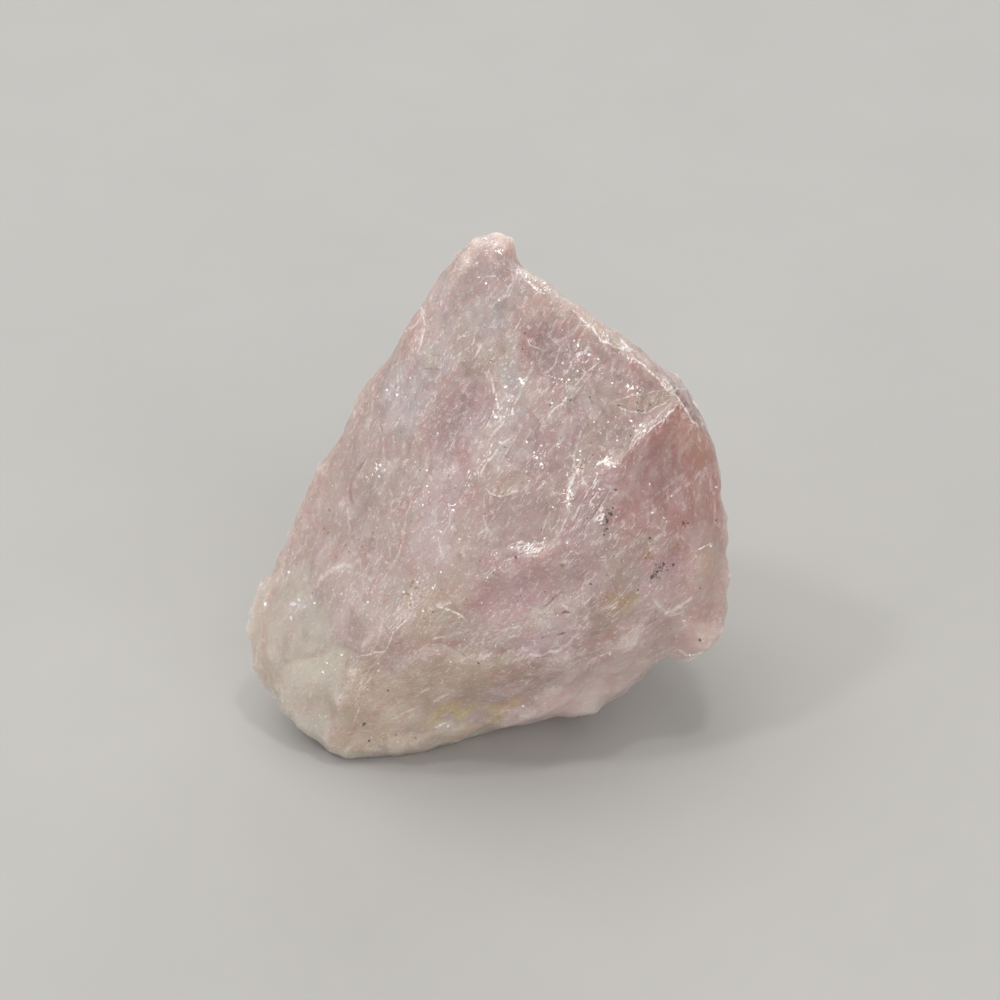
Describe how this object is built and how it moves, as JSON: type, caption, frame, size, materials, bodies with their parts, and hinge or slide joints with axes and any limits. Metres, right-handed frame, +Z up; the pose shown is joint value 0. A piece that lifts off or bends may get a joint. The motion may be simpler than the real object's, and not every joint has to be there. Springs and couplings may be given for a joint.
{
  "type": "rough morganite",
  "caption": "Rough, unpolished piece of cloudy pink beryl: a broad leaning front face with ledges and flake scars, a pointed tip and a flat patch to rest on.",
  "frame": {"origin": "centre of the bounding box in plan, at the level of the surface that the stone rests on", "axes": "+Z up; the broad front face looks towards -Y and leans back; +X to the right of someone facing the front"},
  "size_m": [0.0422, 0.0296, 0.044],
  "materials": {
    "cloudy_beryl": "broken, satin to glassy, cloudy and slightly translucent"
  },
  "bodies": {
    "root": {"morganite": "cloudy_beryl"}
  },
  "joints": []
}
